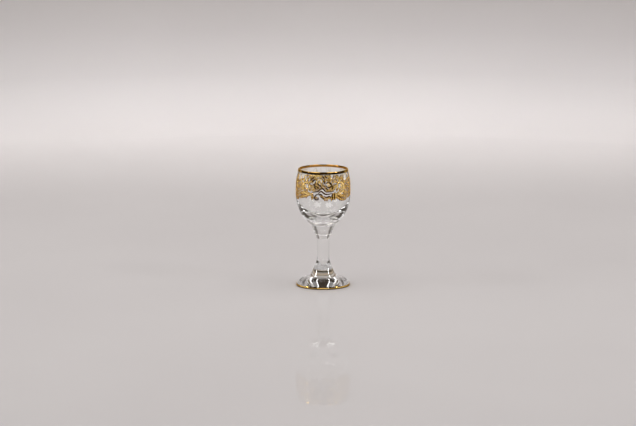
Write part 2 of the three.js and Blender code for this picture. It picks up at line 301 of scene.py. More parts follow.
def newTree(name, inputs):
    tree = bpy.data.node_groups.new(name, "GeometryNodeTree")
    tree.interface.new_socket("Geometry", in_out="INPUT", socket_type="NodeSocketGeometry")
    tree.interface.new_socket("Geometry", in_out="OUTPUT", socket_type="NodeSocketGeometry")
    for label, kind in inputs.items():
        tree.interface.new_socket(label, in_out="INPUT", socket_type="NodeSocket" + kind)
    wires = Wire(tree)
    return tree, wires, wires.node("NodeGroupInput")


def lineObject(name, lines, cyclic=False):
    data = bpy.data.curves.new(name, "CURVE")
    data.dimensions = "3D"
    for places, radii in lines:
        spline = data.splines.new("POLY")
        spline.points.add(len(places) - 1)
        spline.use_cyclic_u = cyclic
        for point, place, radius in zip(spline.points, places, radii):
            point.co = (*place, 1.0)
            point.radius = radius
    made = bpy.data.objects.new(name, data)
    bpy.context.scene.collection.objects.link(made)
    return made


def profileObject(name, profile):
    places = [(r * mm, 0.0, z * mm) for r, z in profile]
    return lineObject(name, [(places, [1.0] * len(places))])


# runs a tree on a line object and keeps the result as a plain mesh object
def runTree(source, tree, values, name):
    modifier = source.modifiers.new(tree.name, "NODES")
    modifier.node_group = tree
    for item in tree.interface.items_tree:
        if item.in_out == "INPUT" and item.name in values:
            modifier[item.identifier] = values[item.name]
    graph = bpy.context.evaluated_depsgraph_get()
    mesh = bpy.data.meshes.new_from_object(source.evaluated_get(graph), depsgraph=graph)
    mesh.name = name
    source.modifiers.remove(modifier)
    piece = bpy.data.objects.new(name, mesh)
    bpy.context.scene.collection.objects.link(piece)
    return piece


# a place by its reach from the axis, its angle from the front and its height
def roundAxis(wires, reach, angle, height):
    return wires.node("ShaderNodeCombineXYZ", sockets={
        "X": reach * wires.math("SINE", angle), "Y": -(reach * wires.math("COSINE", angle)), "Z": height})


# a profile turned round the axis: one grid column for each step round, one row for each profile point
def turningTree():
    touch = 0.002 * mm  # places closer than this count as one
    sharp = radians(35)  # edges bent more than this stay sharp
    tree, wires, given = newTree("turning", {
        "Segments": "Int", "Lower Joint": "Float", "Lower Width": "Float",
        "Upper Joint": "Float", "Upper Width": "Float", "Finish": "Material", "Joint Finish": "Material"})
    profile = given.other("Geometry")
    rows = wires.node("GeometryNodeAttributeDomainSize", {"component": "CURVE"}, {"Geometry": profile})
    grid = wires.node("GeometryNodeMeshGrid", sockets={
        "Vertices X": given.other("Segments") + 1, "Vertices Y": rows})
    index = wires.node("GeometryNodeInputIndex")
    column = wires.math("FLOOR", (index + 0.5) / rows)
    place = wires.node("GeometryNodeInputPosition")
    onProfile = wires.node("GeometryNodeSampleIndex", {"data_type": "FLOAT_VECTOR", "domain": "POINT"},
                           {"Geometry": profile, "Value": place, "Index": index - column * rows})
    axes = onProfile.axes()
    angle = column * (-2 * pi) / given.other("Segments")  # this way round the faces point outwards
    turned = roundAxis(wires, axes, angle, axes.other("Z"))
    body = wires.node("GeometryNodeSetPosition", sockets={"Geometry": grid, "Position": turned})
    body = wires.node("GeometryNodeMergeByDistance", sockets={"Geometry": body, "Distance": touch})
    body = wires.node("GeometryNodeSetShadeSmooth", sockets={"Geometry": body})
    bent = wires.node("GeometryNodeInputMeshEdgeAngle")
    body = wires.node("GeometryNodeSetShadeSmooth", {"domain": "EDGE"}, {
        "Geometry": body, "Selection": wires.math("GREATER_THAN", bent, sharp), "Shade Smooth": False})
    body = wires.node("GeometryNodeRealizeInstances", sockets={"Geometry": body})
    body = wires.node("GeometryNodeSetMaterial", sockets={
        "Geometry": body, "Material": given.other("Finish")})
    middle = place.axes()
    reach = wires.math("SQRT", middle * middle + middle.other("Y") * middle.other("Y"))
    for end in ("Lower", "Upper"):
        off = wires.math("ABSOLUTE", middle.other("Z") - given.other(end + " Joint"))
        level = wires.math("LESS_THAN", off, touch)
        within = wires.math("LESS_THAN", reach, given.other(end + " Width"))
        body = wires.node("GeometryNodeSetMaterial", sockets={
            "Geometry": body, "Selection": level * within, "Material": given.other("Joint Finish")})
    wires.node("NodeGroupOutput", sockets={"Geometry": body})
    return tree


turning = turningTree()


# a joint is its height and the radius of the face that the two pieces share
def turnedPiece(name, profile, finish, lower=(0, 0), upper=(0, 0), segments=144):
    source = profileObject(name + "_profile", profile)
    piece = runTree(source, turning, {
        "Segments": segments, "Lower Joint": lower[0] * mm, "Lower Width": lower[1] * mm,
        "Upper Joint": upper[0] * mm, "Upper Width": upper[1] * mm,
        "Finish": finishes[finish], "Joint Finish": finishes["joint"]}, name)
    bpy.data.objects.remove(source)
    return piece


def join(*stretches):
    line = []
    for stretch in stretches:
        for place in stretch:
            if not line or hypot(place[0] - line[-1][0], place[1] - line[-1][1]) > 1e-6:
                line.append(place)
    return line


def boxSize(node):
    _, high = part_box(node)
    return high.x / mm, high.z / mm  # radius, top


# Foot
foot = {
    "edgeHeight": 1.8, "edgeRound": 0.9, "ringWidth": 4.5, "kick": 1.2,
    "seatRadius": 12.7, "seatStep": 0.3, "seatRound": 0.2,
}
footRadius, seatHeight = boxSize("foot")
domeStart = (foot["seatRadius"], seatHeight - foot["seatStep"])
domeEnd = (footRadius, foot["edgeHeight"])
ringOut = footRadius - foot["edgeRound"]
ringIn = ringOut - foot["ringWidth"]
seat = rounded((0, seatHeight), (foot["seatRadius"], seatHeight), domeStart, foot["seatRound"])
dome = bend(domeStart, domeEnd, leave=(0.46, 0.03), arrive=(0.07, 0.28), steps=40)
edge = [domeEnd, (footRadius, foot["edgeRound"])]
under = rounded(domeEnd, (footRadius, 0), (0, 0), foot["edgeRound"], 10)
kick = bend((ringIn, 0), (0, foot["kick"]), leave=(0.3, 0.7), arrive=(0.5, 0))
flareRadius, stemTop = boxSize("stem")
footJoint = (seatHeight, flareRadius)
footGlass = turnedPiece("foot_glass", join(
    [(0, seatHeight), (flareRadius, seatHeight)], seat, dome, edge, under, kick), "glass", upper=footJoint)
print("foot turned")

# Stem
stem = {"radius": 5.6, "topRadius": 6.6, "topLength": 4.8, "flareLength": 18.0}
shoulder = bend((stem["topRadius"], stemTop), (stem["radius"], stemTop - stem["topLength"]),
                leave=(0, 0.65), arrive=(0, 0.25))
flare = bend((stem["radius"], seatHeight + stem["flareLength"]), (flareRadius, seatHeight),
             leave=(0, 0.37), arrive=(0.45, 0.34), steps=40)
collarJoint = (stemTop, stem["topRadius"])
stemGlass = turnedPiece("stem_glass", join([(0, stemTop)], shoulder, flare, [(0, seatHeight)]), "glass",
                        footJoint, collarJoint, segments=96)
print("stem turned")

# Collar
collar = {"ledge": 1.1, "edgeRound": 0.7, "trim": 0.5}
collarRadius, collarTop = boxSize("collar")
collarRadius -= collar["trim"]  # the photo shows a slight kink under the bowl
collarEnd = (stem["topRadius"] + collar["ledge"], stemTop)
waist = bend((collarRadius, collarTop), collarEnd, leave=(0.2, 0.46), arrive=(0.33, 0.56))
bowlJoint = (collarTop, collarRadius)
ledge = rounded(waist[-2], collarEnd, (0, stemTop), collar["edgeRound"])
waist = [place for place in waist if place[1] > ledge[0][1]]
collarGlass = turnedPiece("collar_glass", join(
    [(0, collarTop)], waist, ledge, [(stem["topRadius"], stemTop), (0, stemTop)]), "glass",
    collarJoint, bowlJoint, segments=96)
print("collar turned")

# Bowl
bowl = {
    "bellyDrop": 22.0, "wall": 2.0, "lipRadius": 22.8, "lipWall": 1.5, "lean": radians(12), "floor": 7.0,
    "plungerRadius": 8.0, "plungerStep": 0.2,
    "lipPull": 0.3, "bellyPull": 0.4,  # of the wall's curve, as shares of the drop from lip to belly
}
bellyRadius, lipHeight = boxSize("bowl")
bellyHeight = lipHeight - bowl["bellyDrop"]
innerBelly = bellyRadius - bowl["wall"]
halfWall = bowl["lipWall"] / 2
lipCentre = (bowl["lipRadius"] - halfWall * cos(bowl["lean"]), lipHeight - halfWall)
lipReach = bowl["lipPull"] * bowl["bellyDrop"]
lipPull = (lipReach * sin(bowl["lean"]), -lipReach * cos(bowl["lean"]))
bellyPull = bellyHeight + bowl["bellyPull"] * bowl["bellyDrop"]
lipSteps = 16
lip = []
for step in range(lipSteps + 1):
    turn = pi + bowl["lean"] - pi * step / lipSteps
    lip.append((lipCentre[0] + halfWall * cos(turn), lipCentre[1] + halfWall * sin(turn)))
lipIn, lipOut = lip[0], lip[-1]
cup = bend((0, collarTop + bowl["floor"]), (innerBelly, bellyHeight),
           leave=(0.5, 0), arrive=(0, 0.75), steps=96)
cup = [(r, z - bowl["plungerStep"] if r < bowl["plungerRadius"] else z) for r, z in cup]
inside = join(
    cup,
    bezier(((innerBelly, bellyHeight), (innerBelly, bellyPull),
            (lipIn[0] + lipPull[0], lipIn[1] + lipPull[1]), lipIn), 32))
outside = join(
    bezier((lipOut, (lipOut[0] + lipPull[0], lipOut[1] + lipPull[1]), (bellyRadius, bellyPull),
            (bellyRadius, bellyHeight)), 32),
    bend((bellyRadius, bellyHeight), (collarRadius, collarTop),
         leave=(0, 0.5), arrive=(0.62, 0.22), steps=48))
bowlGlass = turnedPiece("bowl_glass", join(inside, lip, outside, [(0, collarTop)]), "glass", bowlJoint)
print("bowl turned")

# Gilding on the lip and round the foot: thin shells bedded in the glass
gilding = {"bedded": 0.03, "proud": 0.1, "lipInside": 1.2, "lipOutside": 1.6, "onDome": 0.4, "below": 0.9}


def gildedRing(name, line):
    shell = lifted(line, gilding["proud"]) + lifted(line, -gilding["bedded"])[::-1]
    return turnedPiece(name, shell + shell[:1], "brightGold")


insideLength = lengthOf(inside)
lipLine = cut(join(inside, lip, outside), insideLength - gilding["lipInside"],
              insideLength + lengthOf(lip) + gilding["lipOutside"])
rimGold = gildedRing("rim_gold", lipLine)
domeLength = lengthOf(dome)
footLine = cut(join(dome, edge, under), domeLength - gilding["onDome"],
               domeLength + lengthOf(edge) + gilding["below"])
footGold = gildedRing("foot_gold", footLine)
print("rings gilded")

# Frieze: one transfer drawn flat on a grid of squares, then laid on the bowl by Geometry Nodes
frieze = {
    "drop": 2.4, "height": 24.0, "columns": 26, "rows": 24, "copies": 3,
    "scrollWidth": 1.3, "strandWidth": 0.9, "pointWidth": 0.35,
    "veinPull": 2.5, "leafPull": 3.6, "slimPull": 2.7, "broadPull": 5.4, "endPull": 3.5,
    "leafLength": 4.6, "innerLeafLength": 3.6, "shrinkPerTurn": 0.31,
    "leafBend": (0.55, 0.2), "leafTip": (0.75, 0.9),  # shares of its length, along the scroll and away
    "leafRelief": 0.19, "scrollRelief": 0.24, "bedded": 0.03,
    "thickness": 0.3,  # the most relief that a leaf has, as a share of its half width
    "plain": 0.05, "fluted": 0.3, "ribbed": 0.65,  # shares of a leaf's relief
    "step": 0.22, "ribPitch": 2.4, "ribSlant": 0.8, "lobes": 0.2,
    "flutePitch": 1.0,  # a share of the half width
    "openColumns": (8, 18), "openRows": 4.6,
}
transferHalf = pi * bellyRadius / frieze["copies"]


def square(place):
    column, row = place
    return (column * transferHalf / frieze["columns"],
            -(frieze["drop"] + row * frieze["height"] / frieze["rows"]))


# a stroke is its points and its half widths; the widths are at the start, of the pull midway and at the end
def stroke(points, widths):
    radii = []
    for index in range(len(points)):
        t = index / (len(points) - 1)
        width = (1 - t) ** 2 * widths[0] + 2 * t * (1 - t) * widths[1] + t * t * widths[2]
        radii.append(width / 2)
    return points, radii


def scroll(points):
    return stroke(points, (frieze["scrollWidth"], frieze["scrollWidth"], frieze["strandWidth"]))


def volutePoint(volute, t):
    (rootX, rootY), (eyeX, eyeY) = square(volute["root"]), square(volute["eye"])
    turned = t * volute["turns"] * 2 * pi
    size = frieze["shrinkPerTurn"] ** abs(t * volute["turns"])
    armX, armY = rootX - eyeX, rootY - eyeY
    return (eyeX + size * (armX * cos(turned) - armY * sin(turned)),
            eyeY + size * (armX * sin(turned) + armY * cos(turned)))


def volutePoints(volute, steps=48):
    return [volutePoint(volute, n / steps) for n in range(steps + 1)]


def leaf(root, bendPoint, tip, pull, steps=14):
    points = pulled(root, bendPoint, tip, steps)
    return stroke(points, (frieze["strandWidth"], pull, frieze["pointWidth"]))


def leaves(pull, rows):
    return [leaf(*[square(place) for place in row], pull) for row in rows]


# leaves along a volute, on its outer side or, with side -1, on its inner one
def leavesOn(volute, places, length, side=1):
    made = []
    for t in places:
        root = volutePoint(volute, t)
        ahead = volutePoint(volute, t + 0.001)  # a small step on, for the direction
        reach = length / hypot(ahead[0] - root[0], ahead[1] - root[1])
        along = ((ahead[0] - root[0]) * reach, (ahead[1] - root[1]) * reach)
        turn = side if volute["turns"] > 0 else -side
        out = (along[1] * turn, -along[0] * turn)
        bendPoint, tip = [tuple(root[k] + share[0] * along[k] + share[1] * out[k] for k in (0, 1))
                          for share in (frieze["leafBend"], frieze["leafTip"])]
        made.append(leaf(root, bendPoint, tip, frieze["leafPull"]))
    return made


def strands(rows):
    width = frieze["strandWidth"]
    return [stroke(bezier([square(place) for place in row], 20), (width, width, width)) for row in rows]


# a smooth line through places, each stretch led by its neighbours
def through(places, steps=8):
    points = []
    for n in range(len(places) - 1):
        a, b = places[n], places[n + 1]
        before, after = places[max(n - 1, 0)], places[min(n + 2, len(places) - 1)]
        first = tuple(a[k] + (b[k] - before[k]) / 6 for k in (0, 1))
        second = tuple(b[k] - (after[k] - a[k]) / 6 for k in (0, 1))
        points += bezier((a, first, second, b), steps)[1 if n else 0:]
    return points


def vein(places):
    tip = frieze["strandWidth"] / 2
    return stroke(through([square(place) for place in places]), (tip, frieze["veinPull"], tip))


def drawFrieze():
    bigScrolls = [
        {"root": (-9.4, 15.6), "eye": (-15.6, 10.2), "turns": -1.6},
        {"root": (10.4, 15.6), "eye": (16.2, 10), "turns": 1.6},
    ]
    crest = {"root": (-6, 7.8), "eye": (-2.6, 5.4), "turns": -1.1}
    shell = {"root": (3.4, 7.6), "eye": (5.1, 8.6), "turns": -0.9}
    scrolls = [scroll(volutePoints(volute)) for volute in (*bigScrolls, crest, shell)]
    drawn = []
    for volute in bigScrolls:
        drawn += leavesOn(volute, (0.06, 0.12, 0.18, 0.24, 0.3, 0.36, 0.42), frieze["leafLength"])
        drawn += leavesOn(volute, (0.5, 0.58, 0.66, 0.74, 0.82), frieze["innerLeafLength"])
        drawn += leavesOn(volute, (0.03, 0.1, 0.17, 0.24, 0.31, 0.38, 0.45), frieze["innerLeafLength"], -1)
    # risers to the lip on both sides of the crest
    drawn += leaves(frieze["slimPull"], [
        ((-13.6, 6.8), (-11.2, 4.6), (-9.8, -0.3)),
        ((-10.6, 7.2), (-8.6, 4.2), (-7.2, -0.3)),
        ((2.6, 6), (1.6, 2.6), (-1.2, -0.1)),
        ((4.4, 5.8), (3.6, 2.4), (1.8, -0.2)),
    ])
    # leaves that stand on the stem, left and right of the gap under the crest
    drawn += leaves(frieze["slimPull"], [
        ((-7.6, 14.4), (-11.4, 13.8), (-11.6, 8.6)),
        ((-6, 13.8), (-9.2, 12.8), (-9.4, 7.6)),
        ((-4.4, 13.4), (-7, 11.6), (-6.4, 8.4)),
        ((-3.2, 12.2), (-4.6, 10.6), (-3.6, 8.6)),
        ((2.8, 14), (5.2, 13.8), (6.6, 11.4)),
        ((5, 14), (8.2, 13.6), (8.8, 9.8)),
        ((7.2, 14), (10.6, 13), (10.4, 6.8)),
        ((8.8, 13.6), (12.2, 12), (12, 7.6)),
        ((-2.6, 11.6), (-1, 10.4), (-1.6, 8.2)),
        ((-5.6, 9.4), (-6.8, 7.6), (-5.4, 5.8)),
        ((-4.4, 7.8), (-4.8, 5.8), (-3.4, 4.2)),
        ((3.4, 13.4), (3.6, 11.8), (2, 10.4)),
        ((7, 11.6), (8.8, 9.6), (8.2, 7)),
        ((8.2, 7.4), (9.8, 6), (9, 4.4)),
        ((6.6, 6), (7.8, 4.8), (7, 3)),
        ((10.2, 7), (11.8, 5.6), (11.2, 4)),
    ])
    # small leaves that fill the crest and the shell
    drawn += leaves(frieze["slimPull"], [
        ((-0.6, 10.8), (0.8, 9.6), (0.6, 7.4)),
        ((1.2, 11.8), (2.2, 10.6), (1.6, 8.8)),
        ((0.4, 5.6), (1.6, 4.6), (2.6, 5.6)),
        ((-2.2, 7.6), (-1, 8.6), (0.4, 8.2)),
        ((-6.8, 9.6), (-8.2, 8.4), (-7.6, 6.4)),
        ((-4.6, 10.4), (-5.8, 9.4), (-5.2, 7.8)),
        ((4, 9.4), (5.2, 8.6), (6.2, 9.2)),
        ((-3.6, 4.2), (-2.4, 5.2), (-2.8, 6.4)),
        ((8, 12.4), (7, 11.6), (5.4, 12.2)),
        ((2.2, 12.8), (3.4, 12.2), (4.8, 12.8)),
        ((-9.6, 10.6), (-8.6, 11.6), (-9.2, 13)),
        ((-7.8, 3.8), (-6.6, 2.8), (-5.2, 2.8)),
        ((9.6, 10.8), (10.8, 9.6), (10.6, 8)),
    ])
    # small leaves laid end to end close under the lip, over the crest
    drawn += leaves(frieze["slimPull"], [
        ((column - 1.9, 0.6), (column, -0.1), (column + 1.9, 0.4))
        for column in (-16, -12, -8.4, -4.8, -1.2, 2.4, 6)])
    # small leaves that fill both ends, every other one turned round
    firstRow, rowPitch, shift = 5.4, 2.9, 0.7
    for end in (-1, 1):
        for n in range(6):
            row = firstRow + rowPitch * n + shift * end  # the ends of neighbours interlock
            inner = ((end * 20.2, row + 0.9), (end * 21.8, row - 0.8), (end * 23.6, row + 0.3))
            outer = ((end * 22.6, row + 1.3), (end * 24.4, row + 1.8), (end * 26.4, row - 0.2))
            drawn += leaves(frieze["endPull"], [inner, outer] if n % 2 else [inner[::-1], outer[::-1]])
    # broad sweeps at both ends, then the hanging leaves
    drawn += leaves(frieze["broadPull"], [
        ((-10.4, 16.8), (-17.6, 18.4), (-25.2, 22.4)),
        ((-12.4, 17), (-8.6, 18), (-10.8, 22.4)),
        ((11.8, 16.6), (14.6, 23.4), (25.2, 23.2)),
        ((12.6, 16.6), (18, 19.6), (25.2, 20)),
    ])
    drawn += leaves(frieze["leafPull"], [
        ((-13.6, 16.4), (-19.4, 16.6), (-25.2, 18.4)),
        ((-3, 18.4), (0, 19), (1.4, 22)),
        ((8.2, 19.2), (4.6, 21.6), (0.8, 18.8)),
        ((9.6, 15.8), (9.9, 19.2), (9.4, 22.4)),
        ((11.8, 15.8), (12.1, 19.4), (11.6, 22.6)),
    ])
    drawn += leaves(frieze["slimPull"], [
        ((-7, 20.6), (-6, 19.2), (-5, 21)),
        ((2.2, 20.4), (1.4, 21.6), (1.8, 23.2)),
        ((3.6, 20.2), (3.9, 21.6), (3.4, 23.2)),
        ((7.4, 19.8), (7.9, 21.6), (7.6, 23.4)),
    ])
    # leaves under the lip, from the arch on the left to the right-hand post
    drawn += leaves(frieze["slimPull"], [
        ((-16.4, 6), (-15.2, 2.8), (-17.6, 0.6)),
        ((-19.6, 6), (-21, 2.8), (-18.2, 0.6)),
        ((-13.8, 3), (-14, 0.8), (-13, -0.6)),
        ((-9.6, 0.8), (-6, -0.6), (-2, -0.2)),
        ((5.2, 6.6), (5.6, 3), (5, -0.4)),
        ((6.8, 6), (6.4, 3), (7, -0.4)),
        ((7, 3.2), (9.6, 4.8), (12.6, 3)),
        ((13.4, 6.4), (13, 3), (13.8, -0.6)),
        ((16.4, 5.6), (17.6, 3), (17.6, 0.6)),
        ((19, 5.6), (18.4, 2.4), (19.4, -0.6)),
        ((-8.8, 3.2), (-7.8, 1.4), (-6, 1)),
        ((-6.2, 1.6), (-4.4, -0.2), (-2.4, 0.8)),
        ((-3.4, 2), (-1.6, 0.4), (0.4, 1.4)),
        ((-0.6, 3.2), (0.8, 1.6), (2.4, 2.2)),
        ((2.6, 1.4), (3.8, -0.2), (5.6, 0.6)),
        ((2.2, 4.6), (3.4, 2.8), (5, 3.4)),
        ((9.4, 2.8), (10.4, 0.6), (12, 0.2)),
        ((-11.8, 4.2), (-12.6, 2), (-11.4, 0.2)),
        ((14.8, 4.8), (16, 2.6), (15.4, 0.2)),
        ((21, 5.2), (20.4, 2.6), (21.2, -0.4)),
    ])
    # arch, garland, swag under the round gap, and one more post
    scrolls += strands([
        ((-19.8, 6), (-20.6, -1.4), (-16, -1.4), (-16.2, 6)),
        ((-12.6, 1.2), (-9.4, -1.4), (-6, 2), (-2.4, 0.4)),
        ((6.4, -0.2), (7, 5.2), (12.2, 5.2), (12.8, -0.2)),
        ((14.6, -0.2), (14.2, 2), (15, 4), (16, 6)),
        ((-24, 5.8), (-24.4, 3.6), (-23.4, 1.6), (-24, -0.4)),
        ((22.6, 5.8), (22.2, 3.6), (23.2, 1.6), (22.8, -0.4)),
    ])
    # dark veins: the S of the stem, the ring curl and wave under it, the crest's spiral, the shell's ring,
    # then short ones between the leaves and in the fringe
    veins = [vein(row) for row in (
        ((-4.6, 17), (-3.5, 15.4), (-1.7, 14.2), (0.2, 15.6), (2.2, 16.8), (5, 16.8), (8.4, 16.2)),
        ((-9.4, 15.4), (-7, 14.8), (-4.4, 14.2), (-2.6, 12.2), (-0.2, 11.8), (1.4, 13.4), (3, 14.8),
         (10.4, 14.4)),
        ((-3.4, 17), (-5.4, 17), (-7.2, 18.6), (-7.9, 20.2), (-7.2, 21.6), (-5.6, 22), (-4.2, 21.2),
         (-4.4, 19.6)),
        ((-2.6, 19.2), (-1.2, 19.6), (0.2, 20.8), (1, 21.8)),
        ((0.8, 18.4), (2.5, 19.6), (4, 19.6), (5.5, 19), (7, 19.6), (8.2, 18.8)),
        ((-8.2, 8.8), (-7, 6.1), (-5.4, 3.4), (-3, 2.5), (-1, 3.5), (-0.2, 5.6), (-1.2, 7.1), (-2.8, 6.7)),
        ((2, 7.6), (3.4, 6.6), (5.4, 6.4), (7.2, 7.4), (7.8, 9.2), (6.8, 10.4), (5, 10.7), (3.4, 9.8),
         (2, 7.6)),
        ((2.4, 11), (4.2, 13.2)),
        ((-12.8, 5.2), (-10, 2.6), (-8.2, 0.8)),
        ((-11, 6.4), (-8.6, 4.2), (-7.2, 3)),
        ((-1.2, 0), (0.2, 1.6), (1.6, 3.6)),
        ((0.8, -0.4), (3, 1.6), (4, 2.4)),
        ((-5.4, 6.8), (-4, 8.4), (-2.2, 9.6), (-1.4, 11.4)),
        ((-9, 8.2), (-7.4, 9.6), (-7.6, 11.2), (-6, 12.4)),
        ((-6.4, 9.8), (-5, 10.6), (-4.2, 12)),
        ((0.2, 4.2), (1.3, 6), (0.7, 8)),
        ((7.8, 12.8), (9, 11.2), (9.4, 9)),
        ((-4, 17.8), (-2.4, 17), (-0.4, 18)),
        ((8.6, 16), (8.4, 18.8), (8.8, 22)),
        ((10.8, 15.6), (10.6, 18.8), (10.8, 22.2)),
    )]
    return drawn, scrolls, veins


# Strokes become low ribbons on one section: fluted leaves with slanting ribs, and plain round scrolls that
# stand a little higher. Then the flat sheet is wrapped round the bowl.
def friezeTree():
    tree, wires, given = newTree("frieze", {
        "Scrolls": "Object", "Veins": "Object", "Section": "Object", "Wall": "Object",
        "Belly Radius": "Float", "Turn": "Float", "Step": "Float",
        "Leaf Relief": "Float", "Scroll Relief": "Float", "Bedded": "Float",
        "Flute Pitch": "Float", "Rib Pitch": "Float", "Finish": "Material", "Ground": "Material"})

    def field(label):
        return wires.node("GeometryNodeInputNamedAttribute", {"data_type": "FLOAT"}, {"Name": label})

    def keep(geometry, values):
        for label, value in values.items():
            geometry = wires.node(
                "GeometryNodeStoreNamedAttribute", {"data_type": "FLOAT", "domain": "POINT"},
                {"Geometry": geometry, "Name": label, "Value": value})
        return geometry

    def linesOf(label):
        lines = wires.node("GeometryNodeObjectInfo", sockets={"Object": given.other(label)})
        return lines.other("Geometry")

    place = wires.node("GeometryNodeInputPosition")
    radius = wires.node("GeometryNodeInputRadius")
    walked = wires.node("GeometryNodeSplineParameter").other("Length")
    section = keep(linesOf("Section"), {"across": place.axes(), "crown": place.axes().other("Y")})

    def ribbon(curves, width, height, rank):
        fine = wires.node("GeometryNodeResampleCurve", {"mode": "LENGTH"},
                          {"Curve": curves, "Length": given.other("Step")})
        fine = wires.node("GeometryNodeSetCurveNormal", {"mode": "Z_UP"}, {"Curve": fine})
        fine = keep(fine, {"along": walked, "half": radius})
        made = wires.node("GeometryNodeCurveToMesh", sockets={
            "Curve": fine, "Profile Curve": section, "Scale": width, "Fill Caps": True})
        below = wires.math("LESS_THAN", field("crown"), -0.01)  # the section's underside
        level = height * (1 - below) - given.other("Bedded") * below
        spot = wires.node("ShaderNodeCombineXYZ", sockets={
            "X": place.axes(), "Y": place.axes().other("Y"), "Z": level})
        made = wires.node("GeometryNodeSetPosition", sockets={"Geometry": made, "Position": spot})
        depth = wires.math("MAXIMUM", place.axes().other("Z"), 0.0) / given.other("Leaf Relief")
        return keep(made, {"depth": depth, "rank": rank})

    across = field("across")
    side = wires.math("ABSOLUTE", across)
    rounding = wires.math("SQRT", wires.math("MAXIMUM", 1 - across * across, 0.0))
    slanting = field("along") / given.other("Rib Pitch") - side * frieze["ribSlant"]
    ribs = 0.5 + 0.5 * wires.math("COSINE", slanting * (2 * pi))
    flutes = 0.5 + 0.5 * wires.math("COSINE", across * (2 * pi) / given.other("Flute Pitch"))
    worked = rounding * (frieze["plain"] + frieze["fluted"] * flutes + frieze["ribbed"] * ribs)
    thick = wires.math("MINIMUM", field("half") * frieze["thickness"], given.other("Leaf Relief"))
    lobes = 1 + frieze["lobes"] * wires.math("COSINE", walked * (2 * pi) / given.other("Rib Pitch"))
    leafy = ribbon(given.other("Geometry"), radius * lobes, thick * worked, 0.0)
    scrolls = ribbon(linesOf("Scrolls"), radius, given.other("Scroll Relief") * rounding, 1.0)
    veins = ribbon(linesOf("Veins"), radius, given.other("Scroll Relief") * rounding, 2.0)
    sheet = wires.node("GeometryNodeJoinGeometry", sockets={"Geometry": [leafy, scrolls, veins]})
    # wrap: along the wall from the lip down, and round the axis
    flat = place.axes()
    onWall = wires.node("GeometryNodeSampleCurve", {"mode": "LENGTH"},
                        {"Curves": linesOf("Wall"), "Length": -flat.other("Y")}).other("Position")
    spot, heading = onWall.axes(), onWall.other("Tangent").axes()
    lift = flat.other("Z")
    reach = spot - heading.other("Z") * lift
    height = spot.other("Z") + heading * lift
    angle = flat / given.other("Belly Radius") + given.other("Turn")
    wrapped = roundAxis(wires, reach, angle, height)
    sheet = wires.node("GeometryNodeSetPosition", sockets={"Geometry": sheet, "Position": wrapped})
    sheet = wires.node("GeometryNodeSetShadeSmooth", sockets={"Geometry": sheet})
    sheet = wires.node("GeometryNodeRealizeInstances", sockets={"Geometry": sheet})
    sheet = wires.node("GeometryNodeSetMaterial", sockets={
        "Geometry": sheet, "Material": given.other("Finish")})
    # the section's underside and the slopes beside it
    sheet = wires.node("GeometryNodeSetMaterial", sockets={
        "Geometry": sheet, "Selection": wires.math("LESS_THAN", field("crown"), -0.3),
        "Material": given.other("Ground")})
    wires.node("NodeGroupOutput", sockets={"Geometry": sheet})
    return tree


def strokeObject(name, drawn):
    return lineObject(name, [([(u * mm, v * mm, 0.0) for u, v in points], [r * mm for r in radii])
                             for points, radii in drawn])


# the two transfers at the back are open near the lip, as both edges of the bowl show
def openTop(strokes):
    kept = []
    for points, radii in strokes:
        column = abs(sum(u for u, _ in points)) / len(points) * frieze["columns"] / transferHalf
        down = -sum(v for _, v in points) / len(points) - frieze["drop"]
        risen = down * frieze["rows"] / frieze["height"] < frieze["openRows"]
        if not (risen and frieze["openColumns"][0] < column < frieze["openColumns"][1]):
            kept.append((points, radii))
    return kept


drawnFrieze = drawFrieze()
# the section's second number is its crown: above 0 on top, 0 along both edges and -1 underneath
topSteps = 8
top = [(x / topSteps, 0.5, 0.0) for x in range(1 - topSteps, topSteps)]
sectionPlaces = [(-1, 0, 0)] + top + [(1, 0, 0), (0.6, -1, 0), (-0.6, -1, 0)]
section = lineObject("frieze_section", [(sectionPlaces, [1.0] * len(sectionPlaces))], cyclic=True)
wall = profileObject("bowl_wall", outside)
laying = friezeTree()
transfers = []
for copy in range(frieze["copies"]):
    strokeSets = [openTop(strokes) if copy else strokes for strokes in drawnFrieze]
    drawing, scrollLines, veinLines = [strokeObject("frieze_strokes", strokes) for strokes in strokeSets]
    transfers.append(runTree(drawing, laying, {
        "Scrolls": scrollLines, "Veins": veinLines, "Section": section, "Wall": wall,
        "Belly Radius": bellyRadius * mm, "Turn": 2 * pi * copy / frieze["copies"],
        "Step": frieze["step"] * mm,
        "Leaf Relief": frieze["leafRelief"] * mm, "Scroll Relief": frieze["scrollRelief"] * mm,
        "Bedded": frieze["bedded"] * mm, "Flute Pitch": frieze["flutePitch"],
        "Rib Pitch": frieze["ribPitch"] * mm, "Finish": finishes["friezeGold"],
        "Ground": finishes["ground"]}, "frieze_gold_" + str(copy + 1)))
    for line in (drawing, scrollLines, veinLines):
        bpy.data.objects.remove(line)
for line in (section, wall):
    bpy.data.objects.remove(line)
print("frieze laid")

for piece, node, slot in (
        (bowlGlass, "bowl", "clear_glass"), (collarGlass, "collar", "clear_glass"),
        (stemGlass, "stem", "clear_glass"), (footGlass, "foot", "clear_glass"),
        (rimGold, "rim_gilding", "bright_gold"), (footGold, "foot_gilding", "bright_gold"),
        *[(one, "ornament_transfer_" + str(n + 1), "frieze_gold") for n, one in enumerate(transfers)]):
    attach(piece, "root")
    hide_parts(node)

